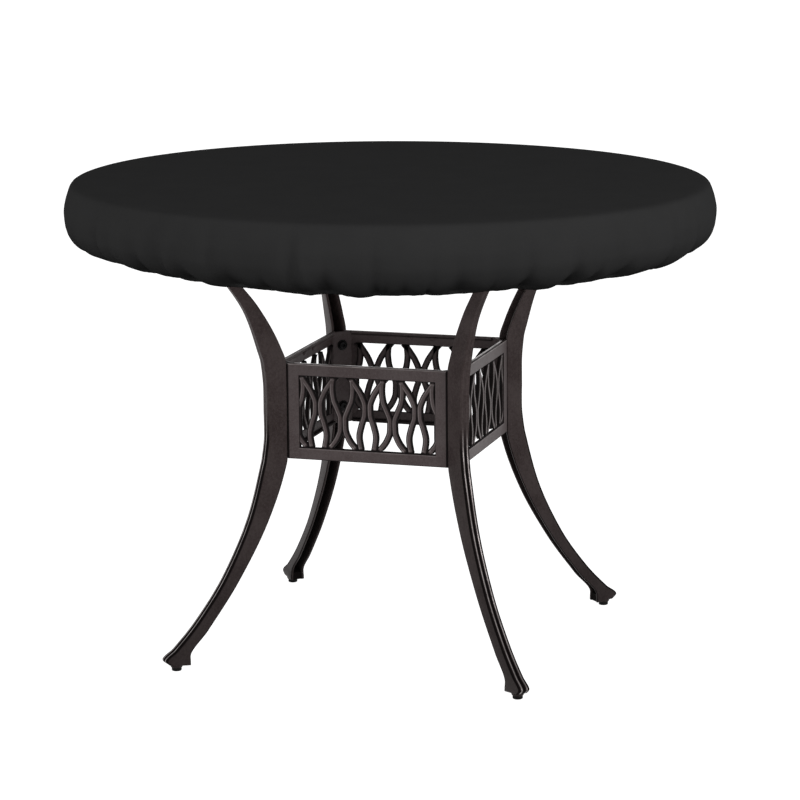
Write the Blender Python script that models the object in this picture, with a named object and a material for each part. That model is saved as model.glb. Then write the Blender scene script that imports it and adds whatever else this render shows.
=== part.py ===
"""Fitted round cover with an elasticated hem, pulled over a round cast patio table.

Metres, +Z up. The origin is on the floor, under the middle of the table. The front is -Y.
The cover is one cloth sheet: a flat top, a rounded edge and a full skirt that the hem draws in.
The table has a plain round top, four S-curved channel legs in the diagonal planes, four openwork
side panels between the legs, a corner plate with two bolts behind each leg, and a glide under each foot.
"""
import math
from collections import namedtuple

import bmesh
import bpy
from mathutils import Matrix, Vector

# ---- driving dimensions -------------------------------------------------------------------------

HEIGHT = 0.735                 # floor to the top of the cloth
GAP = 0.0003                   # clearance between pieces that touch

CLOTH = 0.0015                 # thickness of the cover cloth
HEM_CLOTH = 0.0030             # thickness of the hem, where the cloth is turned over its elastic
COVER_SIDES = 132              # facets round the cover
COVER_FRONT = -72.9            # degrees from +X to the side of the cover that faces the viewer

GATHER_START = 0.45            # share of the skirt's drop where the gathers begin
BULGE_END = 0.85               # share where the slow waves of the bulge die out
DROOP_START = 0.30             # share where the low spots begin

TOP_RADIUS = 0.4895            # table top, over its rolled rim
TOP_PLATE = 0.006
RIM_ROUND = 0.012              # radius of the rim's half round
RIM_FOOT = 0.030               # width of the rim, from its outer edge to the hollow underside
TOP_SIDES = 72                 # facets round the table top

LEG_WALL = 0.0042              # metal round the channel of a leg
PAD_LENGTH, PAD_WIDTH, PAD_THICK = 0.060, 0.044, 0.006  # flat pad on top of each leg
FOOT_FLOOR = 0.0165            # metal above the underside of the foot
BOSS_HALF = 0.009              # half height of the metal that takes each bolt

PANEL_FACE = 0.1475            # middle of the table to a panel's outer face
PANEL_LOW, PANEL_HIGH = 0.3164, 0.4667
PANEL_SKIN = 0.0045            # thickness of a panel's frame
PANEL_DEPTH = 0.0085           # over the flanges along its upper and lower edges
FLANGE = 0.0040                # thickness of those flanges
RAIL, STILE = 0.020, 0.0192    # widths of a panel's frame, across and upright
BAR_WIDTH, BAR_DEPTH, BAR_SETBACK = 0.0086, 0.0045, 0.0012
BAR_ROOT = 0.004               # how far a bar may run into a stile
LATTICE_PITCH = 0.0800         # one repeat of the lattice

PLATE_WIDTH, PLATE_THICK = 0.034, 0.004        # corner plate behind each leg
BOLT_FROM_TOP, BOLT_FROM_LOW = 0.0222, 0.0276  # bolt axes, from a panel's upper and lower edges
BOLT_RADIUS, BOLT_HEAD_RADIUS, BOLT_HEAD = 0.0030, 0.0062, 0.0050
BOLT_GRIP = 0.010              # how far a bolt reaches into the leg
HOLE_RADIUS = 0.0034
HOLE_SPARE = 0.003             # depth of a bolt hole past the end of its bolt
HOLE_SIDES = 10                # facets round a hole and a bolt
CUT_PAST = 0.010               # how far a cutter runs past the metal it cuts

GLIDE_AT = 0.3855              # middle of the table to a glide's axis
GLIDE_RADIUS, GLIDE_HEIGHT, GLIDE_ROUND, STEM_TOP = 0.0075, 0.0082, 0.0010, 0.0180
STEM_SPARE = 0.002             # depth of a stem hole past the end of its stem

DIAGONAL = math.sqrt(0.5)
QUARTERS = {"front_left": 225, "front_right": 315, "back_right": 45, "back_left": 135}
PANEL_TURNS = {"front": 0, "right": 90, "back": 180, "left": 270}

# ---- tables ------------------------------------------------------------------------------------

# Sections of a leg from the foot's flat underside to the top, in its own diagonal plane: the outer
# face's and the open side's distance from the middle of the table and height, and the width of each.
LegSection = namedtuple("LegSection", "outer_r outer_z inner_r inner_z outer_width inner_width")
LEG_SECTIONS = (
    LegSection(0.3985, 0.0085, 0.3722, 0.0085, 0.0160, 0.0240),
    LegSection(0.4060, 0.0176, 0.3719, 0.0130, 0.0152, 0.0240),
    LegSection(0.3885, 0.0330, 0.3704, 0.0232, 0.0155, 0.0232),
    LegSection(0.3490, 0.0720, 0.3368, 0.0598, 0.0155, 0.0228),
    LegSection(0.2985, 0.1400, 0.2832, 0.1303, 0.0155, 0.0232),
    LegSection(0.2550, 0.2310, 0.2302, 0.2232, 0.0155, 0.0240),
    LegSection(0.2345, 0.3050, 0.2008, 0.2990, 0.0155, 0.0250),
    LegSection(0.2320, 0.3160, 0.1955, 0.3160, 0.0155, 0.0260),
    LegSection(0.2268, 0.3600, 0.1955, 0.3600, 0.0155, 0.0265),
    LegSection(0.2262, 0.4230, 0.1955, 0.4230, 0.0155, 0.0265),
    LegSection(0.2300, 0.4665, 0.1955, 0.4665, 0.0150, 0.0265),
    LegSection(0.2360, 0.4870, 0.2040, 0.4930, 0.0140, 0.0250),
    LegSection(0.2570, 0.5460, 0.2385, 0.5560, 0.0115, 0.0240),
    LegSection(0.2965, 0.6050, 0.2865, 0.6150, 0.0105, 0.0235),
    LegSection(0.3470, 0.6610, 0.3355, 0.6740, 0.0105, 0.0235),
    LegSection(0.4060, 0.7230, 0.3800, 0.7250, 0.0110, 0.0240),
)
LEG_ROWS = 28                  # sections lofted along a leg

# Profile of the cover's outer side: radius, and drop below the top of the cloth.
CoverRow = namedtuple("CoverRow", "radius drop")
COVER_PROFILE = (
    CoverRow(0.4820, 0.0000),
    CoverRow(0.4892, 0.0012),
    CoverRow(0.4942, 0.0045),
    CoverRow(0.4975, 0.0110),
    CoverRow(0.5030, 0.0280),
    CoverRow(0.5050, 0.0450),
    CoverRow(0.5030, 0.0620),
    CoverRow(0.4930, 0.0800),
    CoverRow(0.4725, 0.0940),
    CoverRow(0.4480, 0.1045),
)

# Main gathers of the hem, each drawn in towards the table: degrees from COVER_FRONT, half width in
# degrees, and depth in metres. They are as uneven as hand-pulled elastic leaves them.
Gather = namedtuple("Gather", "angle spread depth")
GATHERS = (
    Gather(-176, 3.4, 0.0080), Gather(-163, 2.8, 0.0060), Gather(-154, 3.8, 0.0095),
    Gather(-141, 2.7, 0.0070), Gather(-131, 3.2, 0.0080), Gather(-119, 4.2, 0.0095),
    Gather(-106, 2.8, 0.0070), Gather(-95, 3.5, 0.0090), Gather(-83, 2.8, 0.0060),
    Gather(-72, 3.6, 0.0080), Gather(-60, 2.7, 0.0060), Gather(-48, 2.8, 0.0070),
    Gather(-37, 3.4, 0.0080), Gather(-28, 3.6, 0.0095), Gather(-15, 2.7, 0.0070),
    Gather(-2, 2.6, 0.0055), Gather(12, 3.8, 0.0080), Gather(24, 2.7, 0.0060),
    Gather(35, 4.2, 0.0095), Gather(45, 3.2, 0.0075), Gather(56, 2.6, 0.0055),
    Gather(66, 4.0, 0.0095), Gather(79, 2.8, 0.0060), Gather(91, 3.6, 0.0080),
    Gather(103, 2.7, 0.0060), Gather(114, 3.8, 0.0090), Gather(127, 2.9, 0.0070),
    Gather(139, 3.6, 0.0090), Gather(151, 2.7, 0.0060), Gather(168, 3.8, 0.0095),
)

# Places where the hem hangs lower: degrees from COVER_FRONT, half width, and drop in metres.
LowSpot = namedtuple("LowSpot", "angle spread drop")
LOW_SPOTS = (
    LowSpot(-152, 7, 0.0030), LowSpot(-112, 6, 0.0025), LowSpot(-78, 6, 0.0030),
    LowSpot(-32, 4, 0.0030), LowSpot(-6, 6, 0.0035), LowSpot(28, 4, 0.0025),
    LowSpot(71, 6, 0.0030), LowSpot(108, 7, 0.0025), LowSpot(146, 6, 0.0030),
)

# Slow waves that keep the skirt's bulge from being a perfect ring: waves round, phase, height.
Wave = namedtuple("Wave", "count phase height")
BULGE_WAVES = (Wave(7, 0.4, 0.0012), Wave(11, 2.1, 0.0010), Wave(18, 4.4, 0.0008))

# Half of each pair of lattice bars: the bar's distance from the pair's middle, in pitches, at
# fractions of the window's height from its top.
BarPoint = namedtuple("BarPoint", "down out")
LOW_LENS_BAR = (
    BarPoint(-0.03, 0.375), BarPoint(0.10, 0.235), BarPoint(0.24, 0.115), BarPoint(0.38, 0.052),
    BarPoint(0.50, 0.056), BarPoint(0.64, 0.115), BarPoint(0.82, 0.168), BarPoint(1.03, 0.125),
)
HIGH_LENS_BAR = (
    BarPoint(-0.03, 0.185), BarPoint(0.15, 0.208), BarPoint(0.30, 0.186), BarPoint(0.44, 0.110),
    BarPoint(0.58, 0.045), BarPoint(0.72, 0.050), BarPoint(0.87, 0.125), BarPoint(1.03, 0.300),
)
# Middles of the pairs, in pitches from the middle of the panel, and which bars show there.
BarPair = namedtuple("BarPair", "middle shape sides")
BAR_PAIRS = (
    BarPair(-1.5, HIGH_LENS_BAR, (1,)), BarPair(-1.0, LOW_LENS_BAR, (-1, 1)),
    BarPair(-0.5, HIGH_LENS_BAR, (-1, 1)), BarPair(0.0, LOW_LENS_BAR, (-1, 1)),
    BarPair(0.5, HIGH_LENS_BAR, (-1, 1)), BarPair(1.0, LOW_LENS_BAR, (-1, 1)),
    BarPair(1.5, HIGH_LENS_BAR, (-1,)),
)
BAR_ROWS = 9

# ---- sizes that follow ---------------------------------------------------------------------------

TOP_Z = HEIGHT - CLOTH - GAP                        # upper face of the table top
UNDERSIDE_Z = TOP_Z - TOP_PLATE                     # where the legs' pads meet it
MOUTH_R = min(row.inner_r for row in LEG_SECTIONS)  # open side of the legs, along the panels
SEAT_R = MOUTH_R - GAP                              # plane that the panels' mitred ends lie on
PANEL_HALF = 2 * DIAGONAL * SEAT_R - PANEL_FACE     # half the panel's outer face
PANEL_BACK = PANEL_FACE - PANEL_SKIN
CORNER_R = (PANEL_BACK - GAP) / DIAGONAL            # where the backs of two panels would meet
PLATE_R = CORNER_R - PLATE_WIDTH / 2                # inner face of a corner plate
BOLT_HEIGHTS = {"upper": PANEL_HIGH - BOLT_FROM_TOP, "lower": PANEL_LOW + BOLT_FROM_LOW}


# ---- helpers -------------------------------------------------------------------------------------

def clear_scene():
    for item in list(bpy.data.objects):
        bpy.data.objects.remove(item, do_unlink=True)


def material(name, colour, roughness, metallic):
    made = bpy.data.materials.new(name)
    made.use_nodes = True
    shader = made.node_tree.nodes["Principled BSDF"]
    shader.inputs["Base Color"].default_value = (*colour, 1.0)
    shader.inputs["Roughness"].default_value = roughness
    shader.inputs["Metallic"].default_value = metallic
    return made


def add_object(name, bm, finish, smooth_degrees=None):
    """Turn a bmesh into a named object with outward faces and its material."""
    bmesh.ops.recalc_face_normals(bm, faces=bm.faces)
    mesh = bpy.data.meshes.new(name)
    bm.to_mesh(mesh)
    bm.free()
    if finish is not None:
        mesh.materials.append(finish)
    if smooth_degrees is not None:
        mesh.shade_smooth()
        mesh.set_sharp_from_angle(angle=math.radians(smooth_degrees))
    made = bpy.data.objects.new(name, mesh)
    bpy.context.scene.collection.objects.link(made)
    return made


def as_cutter(item):
    item.hide_render = True
    item.display_type = "WIRE"
    return item


def combine(item, other, operation):
    """Add an exact Boolean with another object, which becomes a guide."""
    step = item.modifiers.new(other.name, "BOOLEAN")
    step.operation = operation
    step.solver = "EXACT"
    step.use_self = operation == "UNION"
    step.object = as_cutter(other)


def loft(bm, rings):
    """Skin a row of closed rings with equal numbers of points, and cap both ends."""
    rows = [[bm.verts.new(point) for point in ring] for ring in rings]
    count = len(rows[0])
    for low, high in zip(rows, rows[1:]):
        for i in range(count):
            j = (i + 1) % count
            bm.faces.new((low[i], low[j], high[j], high[i]))
    bm.faces.new(rows[0][::-1])
    bm.faces.new(rows[-1])


def turned(bm, profile, sides, spin=None):
    """Revolve (radius, height) points whose ends lie on the axis, about Z or a turned Z."""
    spin = spin or Matrix.Identity(4)
    rings = []
    for radius, height in profile[1:-1]:
        turns = [2 * math.pi * i / sides for i in range(sides)]
        rings.append([spin @ Vector((radius * math.cos(t), radius * math.sin(t), height)) for t in turns])
    loft(bm, rings)


def smooth_between(knots, values, at):
    """Monotone cubic through (knots, values): it never swings past its own points."""
    count = len(knots)
    slopes = [(values[i + 1] - values[i]) / (knots[i + 1] - knots[i]) for i in range(count - 1)]
    tangents = [slopes[0]]
    for before, after in zip(slopes, slopes[1:]):
        same_way = before * after > 0
        tangents.append(2 * before * after / (before + after) if same_way else 0.0)
    tangents.append(slopes[-1])
    i = 0
    while i < count - 2 and at > knots[i + 1]:
        i += 1
    span = knots[i + 1] - knots[i]
    t = (at - knots[i]) / span
    return (values[i] * (1 + 2 * t) * (1 - t) ** 2 + tangents[i] * span * t * (1 - t) ** 2
            + values[i + 1] * t * t * (3 - 2 * t) + tangents[i + 1] * span * t * t * (t - 1))


# ---- cover ---------------------------------------------------------------------------------------

def angle_apart(a, b):
    return (a - b + 180.0) % 360.0 - 180.0


def cover_folds(degrees, share):
    """Radial and vertical shift of the skirt at an angle, where share runs 0 at the edge to 1 at the hem."""
    from_front = degrees - COVER_FRONT
    waves = sum(w.height * math.sin(w.count * math.radians(from_front) + w.phase) for w in BULGE_WAVES)
    radial = waves * math.sin(math.pi * min(share / BULGE_END, 1.0))
    pull = max(0.0, (share - GATHER_START) / (1 - GATHER_START)) ** 1.5
    for fold in GATHERS:
        radial -= fold.depth * pull * math.exp(-(angle_apart(from_front, fold.angle) / fold.spread) ** 2)
    droop = sum(s.drop * math.exp(-(angle_apart(from_front, s.angle) / s.spread) ** 2) for s in LOW_SPOTS)
    return radial, -droop * max(0.0, (share - DROOP_START) / (1 - DROOP_START))


def cover_ring(radius, height, share):
    ring = []
    for i in range(COVER_SIDES):
        degrees = 360.0 * i / COVER_SIDES
        radial, lift = cover_folds(degrees, share)
        turn = math.radians(degrees)
        r = radius + radial
        ring.append(Vector((r * math.cos(turn), r * math.sin(turn), height + lift)))
    return ring


def make_cover(finish):
    """One closed sheet: the outer skin down to the hem, and the inner skin back up to the middle."""
    outer, inner = [], []
    last = len(COVER_PROFILE) - 1
    for i, row in enumerate(COVER_PROFILE):
        before, after = COVER_PROFILE[max(i - 1, 0)], COVER_PROFILE[min(i + 1, last)]
        along = Vector((after.radius - before.radius, before.drop - after.drop))
        if i == 0:
            along = Vector((1.0, 0.0))
        along.normalize()
        inwards = Vector((along.y, -along.x))
        share = max(0.0, row.drop / COVER_PROFILE[last].drop)
        thick = HEM_CLOTH if i == last else CLOTH
        outer.append(cover_ring(row.radius, HEIGHT - row.drop, share))
        inner_radius, inner_height = row.radius + inwards.x * thick, HEIGHT - row.drop + inwards.y * thick
        inner.append(cover_ring(inner_radius, inner_height, share))
    bm = bmesh.new()
    loft(bm, outer + inner[::-1])
    return add_object("cover", bm, finish, 60)


# ---- table top -----------------------------------------------------------------------------------

def make_table_top(finish):
    """A plate with a rolled half-round rim and a hollow underside."""
    centre_r, centre_z = TOP_RADIUS - RIM_ROUND, TOP_Z - RIM_ROUND
    profile = [(0.0, TOP_Z)]
    for degrees in (90, 60, 30, 0, -30, -60, -90):
        turn = math.radians(degrees)
        profile.append((centre_r + RIM_ROUND * math.cos(turn), centre_z + RIM_ROUND * math.sin(turn)))
    foot = TOP_RADIUS - RIM_FOOT
    profile += [(foot + RIM_ROUND / 2, centre_z - RIM_ROUND), (foot, centre_z - RIM_ROUND / 2)]
    profile += [(foot, UNDERSIDE_Z), (0.0, UNDERSIDE_Z)]
    bm = bmesh.new()
    turned(bm, profile, TOP_SIDES)
    return add_object("table_top", bm, finish, 40)


# ---- legs ----------------------------------------------------------------------------------------

LEG_KNOTS = [(row.outer_z + row.inner_z) / 2 for row in LEG_SECTIONS]


def leg_section(height):
    """The leg's section at a height of its middle line."""
    columns = zip(*LEG_SECTIONS)
    return LegSection(*[smooth_between(LEG_KNOTS, column, height) for column in columns])


def leg_heights(low, high, rows):
    """Heights of rows spread evenly along the leg's table between two heights."""
    knots = [smooth_between(LEG_KNOTS, range(len(LEG_KNOTS)), h) for h in (low, high)]
    spread = [knots[0] + (knots[1] - knots[0]) * i / (rows - 1) for i in range(rows)]
    return [smooth_between(range(len(LEG_KNOTS)), LEG_KNOTS, k) for k in spread]


def solid_ring(height):
    """The leg's outline at a height, with the leg's own plane along +X."""
    s = leg_section(height)
    return [Vector((s.outer_r, -s.outer_width / 2, s.outer_z)),
            Vector((s.outer_r, s.outer_width / 2, s.outer_z)),
            Vector((s.inner_r, s.inner_width / 2, s.inner_z)),
            Vector((s.inner_r, -s.inner_width / 2, s.inner_z))]


def channel_ring(height):
    """The hollow of the leg: one wall in from the outer face and the flanks, and past the open side."""
    s = leg_section(height)
    inwards = Vector((s.inner_r - s.outer_r, 0.0, s.inner_z - s.outer_z))
    depth = inwards.length
    inwards.normalize()
    web = Vector((s.outer_r, 0.0, s.outer_z)) + inwards * LEG_WALL
    open_side = web + inwards * depth
    flare = (s.inner_width - s.outer_width) / depth
    narrow = s.outer_width - 2 * LEG_WALL + flare * LEG_WALL
    wide = narrow + flare * depth
    return [web + Vector((0, -narrow / 2, 0)), web + Vector((0, narrow / 2, 0)),
            open_side + Vector((0, wide / 2, 0)), open_side + Vector((0, -wide / 2, 0))]


def cylinder(name, radius, start, end):
    """A plain cutter between two points."""
    along = end - start
    turn = along.to_track_quat("Z", "Y").to_matrix().to_4x4()
    spin = Matrix.Translation(start) @ turn
    bm = bmesh.new()
    turned(bm, [(0, 0), (radius, 0), (radius, along.length), (0, along.length)], HOLE_SIDES, spin)
    return add_object(name, bm, None)


def box(name, low, high):
    bm = bmesh.new()
    loft(bm, [[Vector((x, y, z)) for x, y in
               ((low[0], low[1]), (high[0], low[1]), (high[0], high[1]), (low[0], high[1]))]
              for z in (low[2], high[2])])
    return add_object(name, bm, None)


def make_leg(corner, degrees, finish):
    """A lofted casting with a channel between bolt bosses, a pad on top and a stem hole in the foot."""
    turn = Matrix.Rotation(math.radians(degrees), 4, "Z")
    bm = bmesh.new()
    loft(bm, [solid_ring(h) for h in leg_heights(LEG_KNOTS[0], LEG_KNOTS[-1], LEG_ROWS)])
    leg = add_object("leg_" + corner, bm, finish, 30)
    pad_middle = (LEG_SECTIONS[-1].outer_r + LEG_SECTIONS[-1].inner_r) / 2
    pad_top = UNDERSIDE_Z - GAP
    parts = [("UNION", box("pad_" + corner,
                           (pad_middle - PAD_LENGTH / 2, -PAD_WIDTH / 2, pad_top - PAD_THICK),
                           (pad_middle + PAD_LENGTH / 2, PAD_WIDTH / 2, pad_top)))]
    low, high = BOLT_HEIGHTS["lower"], BOLT_HEIGHTS["upper"]
    channels = ((LEG_KNOTS[0] + FOOT_FLOOR, low - BOSS_HALF, 11), (low + BOSS_HALF, high - BOSS_HALF, 3),
                (high + BOSS_HALF, LEG_KNOTS[-1] - PAD_THICK, 11))
    for number, (start, end, rows) in enumerate(channels):
        bm = bmesh.new()
        loft(bm, [channel_ring(h) for h in leg_heights(start, end, rows)])
        parts.append(("DIFFERENCE", add_object(f"channel_{corner}_{number}", bm, None)))
    for place, height in BOLT_HEIGHTS.items():
        start = Vector((MOUTH_R - CUT_PAST, 0, height))
        end = Vector((MOUTH_R + BOLT_GRIP + HOLE_SPARE, 0, height))
        parts.append(("DIFFERENCE", cylinder(f"bolt_hole_{corner}_{place}", HOLE_RADIUS, start, end)))
    start, end = Vector((GLIDE_AT, 0, 0)), Vector((GLIDE_AT, 0, STEM_TOP + STEM_SPARE))
    parts.append(("DIFFERENCE", cylinder("stem_hole_" + corner, HOLE_RADIUS, start, end)))
    leg.matrix_world = turn
    for operation, other in parts:
        other.matrix_world = turn
        combine(leg, other, operation)
    return leg


# ---- panels --------------------------------------------------------------------------------------

def make_panel(side, degrees, finish):
    """A frame with a window, and sinuous bars let into it in pairs that part and meet."""
    turn = Matrix.Rotation(math.radians(degrees), 4, "Z")
    back_half = PANEL_HALF + PANEL_SKIN             # the ends are mitred onto the legs' open sides
    plan = ((-PANEL_HALF, -PANEL_FACE), (PANEL_HALF, -PANEL_FACE),
            (back_half, -PANEL_BACK), (-back_half, -PANEL_BACK))
    bm = bmesh.new()
    loft(bm, [[Vector((x, y, z)) for x, y in plan] for z in (PANEL_LOW, PANEL_HIGH)])
    panel = add_object("panel_" + side, bm, finish, 30)
    half_window = PANEL_HALF - STILE
    window_low, window_high = PANEL_LOW + RAIL, PANEL_HIGH - RAIL
    window = box("window_" + side, (-half_window, -PANEL_FACE - CUT_PAST, window_low),
                 (half_window, -PANEL_BACK + CUT_PAST, window_high))
    flange_half = (PLATE_R - PLATE_WIDTH / 2) * DIAGONAL - 2 * GAP
    flange_back = -PANEL_FACE + PANEL_DEPTH
    flanges = [box(f"flange_{side}_{low:.3f}", (-flange_half, -PANEL_FACE + PANEL_SKIN / 2, low),
                   (flange_half, flange_back, low + FLANGE))
               for low in (PANEL_LOW, PANEL_HIGH - FLANGE)]
    bm = bmesh.new()
    for pair in BAR_PAIRS:
        for way in pair.sides:
            add_bar(bm, pair.middle * LATTICE_PITCH, way, pair.shape, window_low, window_high)
    bars = add_object("bars_" + side, bm, finish)
    panel.matrix_world = turn
    steps = [("DIFFERENCE", window), ("UNION", bars)] + [("UNION", flange) for flange in flanges]
    for operation, other in steps:
        other.matrix_world = turn
        combine(panel, other, operation)
    return panel


def add_bar(bm, middle, way, shape, low, high):
    """One bar of the lattice, a flat strip that follows its table and ends in the frame."""
    front, back = -PANEL_FACE + BAR_SETBACK, -PANEL_FACE + BAR_SETBACK + BAR_DEPTH
    limit = PANEL_HALF - STILE + BAR_ROOT
    downs = [p.down for p in shape]
    outs = [p.out for p in shape]
    rows = []
    for i in range(BAR_ROWS):
        down = downs[0] + (downs[-1] - downs[0]) * i / (BAR_ROWS - 1)
        out = smooth_between(downs, outs, down)
        rows.append(Vector((middle + way * out * LATTICE_PITCH, high - down * (high - low))))
    rings = []
    for i, here in enumerate(rows):
        along = (rows[min(i + 1, BAR_ROWS - 1)] - rows[max(i - 1, 0)]).normalized()
        across = Vector((-along.y, along.x)) * BAR_WIDTH / 2
        if abs(here.x) > limit:
            continue
        left, right = here - across, here + across
        rings.append([Vector((left.x, front, left.y)), Vector((right.x, front, right.y)),
                      Vector((right.x, back, right.y)), Vector((left.x, back, left.y))])
    loft(bm, rings)


# ---- plates, bolts and glides --------------------------------------------------------------------

def make_corner_plate(corner, degrees, finish):
    """A flat plate whose bevelled edges lie on the backs of two panels."""
    turn = Matrix.Rotation(math.radians(degrees), 4, "Z")
    wide, narrow = PLATE_WIDTH / 2, PLATE_WIDTH / 2 - PLATE_THICK
    outer_r = PLATE_R + PLATE_THICK
    plan = ((PLATE_R, -wide), (outer_r, -narrow), (outer_r, narrow), (PLATE_R, wide))
    bm = bmesh.new()
    loft(bm, [[Vector((x, y, z)) for x, y in plan] for z in (PANEL_LOW, PANEL_HIGH)])
    plate = add_object("corner_plate_" + corner, bm, finish, 30)
    plate.matrix_world = turn
    for place, height in BOLT_HEIGHTS.items():
        start = Vector((PLATE_R - PLATE_THICK, 0, height))
        end = Vector((outer_r + PLATE_THICK, 0, height))
        hole = cylinder(f"plate_hole_{corner}_{place}", HOLE_RADIUS, start, end)
        hole.matrix_world = turn
        combine(plate, hole, "DIFFERENCE")
    return plate


def make_bolt(corner, place, degrees, finish):
    """A round-headed bolt: its head on the plate's inner face, its shank reaching into the leg."""
    seat = PLATE_R - GAP
    end = MOUTH_R + BOLT_GRIP
    profile = [(0.0, -BOLT_HEAD), (BOLT_HEAD_RADIUS * 0.8, -BOLT_HEAD), (BOLT_HEAD_RADIUS, -BOLT_HEAD * 0.6),
               (BOLT_HEAD_RADIUS, 0.0), (BOLT_RADIUS, 0.0), (BOLT_RADIUS, end - seat), (0.0, end - seat)]
    lie = Matrix.Translation((seat, 0, BOLT_HEIGHTS[place])) @ Matrix.Rotation(math.radians(90), 4, "Y")
    bm = bmesh.new()
    turned(bm, profile, HOLE_SIDES, Matrix.Rotation(math.radians(degrees), 4, "Z") @ lie)
    return add_object(f"bolt_{corner}_{place}", bm, finish, 50)


def make_glide(corner, degrees, finish):
    """A round pad with a stem that reaches up into the foot."""
    profile = [(0.0, 0.0), (GLIDE_RADIUS - GLIDE_ROUND, 0.0), (GLIDE_RADIUS, GLIDE_ROUND),
               (GLIDE_RADIUS, GLIDE_HEIGHT), (BOLT_RADIUS, GLIDE_HEIGHT),
               (BOLT_RADIUS, STEM_TOP), (0.0, STEM_TOP)]
    place = Matrix.Rotation(math.radians(degrees), 4, "Z") @ Matrix.Translation((GLIDE_AT, 0, 0))
    bm = bmesh.new()
    turned(bm, profile, HOLE_SIDES, place)
    return add_object("glide_" + corner, bm, finish, 50)


def main():
    clear_scene()
    cloth = material("cover_cloth", (0.018, 0.018, 0.019), 0.85, 0.0)
    cast = material("cast_bronze_paint", (0.055, 0.042, 0.038), 0.45, 0.6)
    steel = material("dark_steel", (0.03, 0.03, 0.032), 0.4, 0.9)
    plastic = material("black_plastic", (0.015, 0.015, 0.015), 0.6, 0.0)
    make_cover(cloth)
    make_table_top(cast)
    for corner, degrees in QUARTERS.items():
        make_leg(corner, degrees, cast)
        make_corner_plate(corner, degrees, cast)
        make_glide(corner, degrees, plastic)
        for place in BOLT_HEIGHTS:
            make_bolt(corner, place, degrees, steel)
    for side, degrees in PANEL_TURNS.items():
        make_panel(side, degrees, cast)


main()
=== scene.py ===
"""Looks of a black fitted cover with an elasticated hem, pulled over a round cast patio table.

Metres, +Z up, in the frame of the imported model: origin on the floor under the middle of the table,
front at -Y, legs in the diagonal planes. The cover is one thin closed cloth sheet. The legs, the
openwork panels, the corner plates, the bolts and the glides are modelled again with their rounded
edges, beads and sockets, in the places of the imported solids.
"""
import math
from collections import namedtuple

import bmesh
import bpy
import numpy as np
from mathutils import Matrix, Quaternion, Vector


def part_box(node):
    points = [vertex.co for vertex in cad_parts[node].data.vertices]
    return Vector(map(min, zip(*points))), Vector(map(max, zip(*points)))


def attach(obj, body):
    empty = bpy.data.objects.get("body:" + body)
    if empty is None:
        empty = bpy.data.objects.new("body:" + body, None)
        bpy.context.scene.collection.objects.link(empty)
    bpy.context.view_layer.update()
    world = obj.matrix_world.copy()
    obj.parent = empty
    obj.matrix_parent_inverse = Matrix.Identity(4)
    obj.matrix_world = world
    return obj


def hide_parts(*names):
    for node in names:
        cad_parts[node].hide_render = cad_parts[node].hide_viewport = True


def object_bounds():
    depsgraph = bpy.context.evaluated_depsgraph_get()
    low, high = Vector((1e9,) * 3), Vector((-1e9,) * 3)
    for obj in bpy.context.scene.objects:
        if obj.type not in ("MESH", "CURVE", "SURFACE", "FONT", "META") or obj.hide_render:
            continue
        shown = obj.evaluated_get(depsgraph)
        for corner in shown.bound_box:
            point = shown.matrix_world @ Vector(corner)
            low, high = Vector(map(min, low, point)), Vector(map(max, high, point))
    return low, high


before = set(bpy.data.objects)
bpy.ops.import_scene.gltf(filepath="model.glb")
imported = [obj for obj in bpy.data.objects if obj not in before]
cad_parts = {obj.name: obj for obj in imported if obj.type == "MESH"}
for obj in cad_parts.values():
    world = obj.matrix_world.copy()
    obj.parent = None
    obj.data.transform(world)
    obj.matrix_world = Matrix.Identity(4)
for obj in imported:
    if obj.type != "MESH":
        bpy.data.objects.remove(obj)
cad_low, cad_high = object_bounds()

# ---- the photograph's camera ----

IMAGE_SIDE = 800  # pixels
SENSOR = 36.0  # millimetres
FOCAL = 3065.2  # pixels
CAMERA_OUT, CAMERA_UP = 4.733, 1.3638
CAMERA_AZIMUTH, CAMERA_PITCH, CAMERA_ROLL = 0.3044, 0.2037, -0.0095
CAMERA_SHIFT = 4.6  # pixels by which the picture's middle lies right of the axis

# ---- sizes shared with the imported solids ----

HEIGHT = cad_high.z
DIAGONAL = math.sqrt(0.5)
CORNERS = {"front_left": 225, "front_right": 315, "back_right": 45, "back_left": 135}
PANELS = {"front": 0, "right": 90, "back": 180, "left": 270}

PANEL_LOW, PANEL_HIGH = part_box("panel_front")[0].z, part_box("panel_front")[1].z
PANEL_FACE = -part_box("panel_front")[0].y
PANEL_SKIN, PANEL_DEPTH, FLANGE = 0.0045, 0.0085, 0.0040
GAP = 0.0003  # between castings that are bolted together
MOUTH_R = 0.1955  # open side of the legs along the panels
PANEL_HALF = 2 * DIAGONAL * (MOUTH_R - GAP) - PANEL_FACE
JOINT = 0.0007  # eased gap between a panel's end and its leg
RAIL, STILE = 0.0200, 0.0202
LATTICE_PITCH = 0.0800
BAR_WIDTH, BAR_HEIGHT, BAR_SETBACK = 0.0100, 0.0066, 0.0013

PLATE_WIDTH, PLATE_THICK, PLATE_EASE = 0.034, 0.004, 0.0006
PLATE_R = (PANEL_FACE - PANEL_SKIN - GAP) / DIAGONAL - PLATE_WIDTH / 2
BOLT_R, BOLT_HEAD, SHANK_R, SHANK = 0.0072, 0.0052, 0.0030, 0.0200
WASHER_R, WASHER, WASHER_EASE = 0.0086, 0.0011, 0.0003
SOCKET_CORNER = 0.0027  # from the middle of a bolt's hexagonal socket to its corners
GLIDE_AT = 0.3855
GLIDE_R, GLIDE_HEIGHT, STEM_R, STEM_TOP = 0.0078, 0.0082, 0.0030, 0.0190

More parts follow.
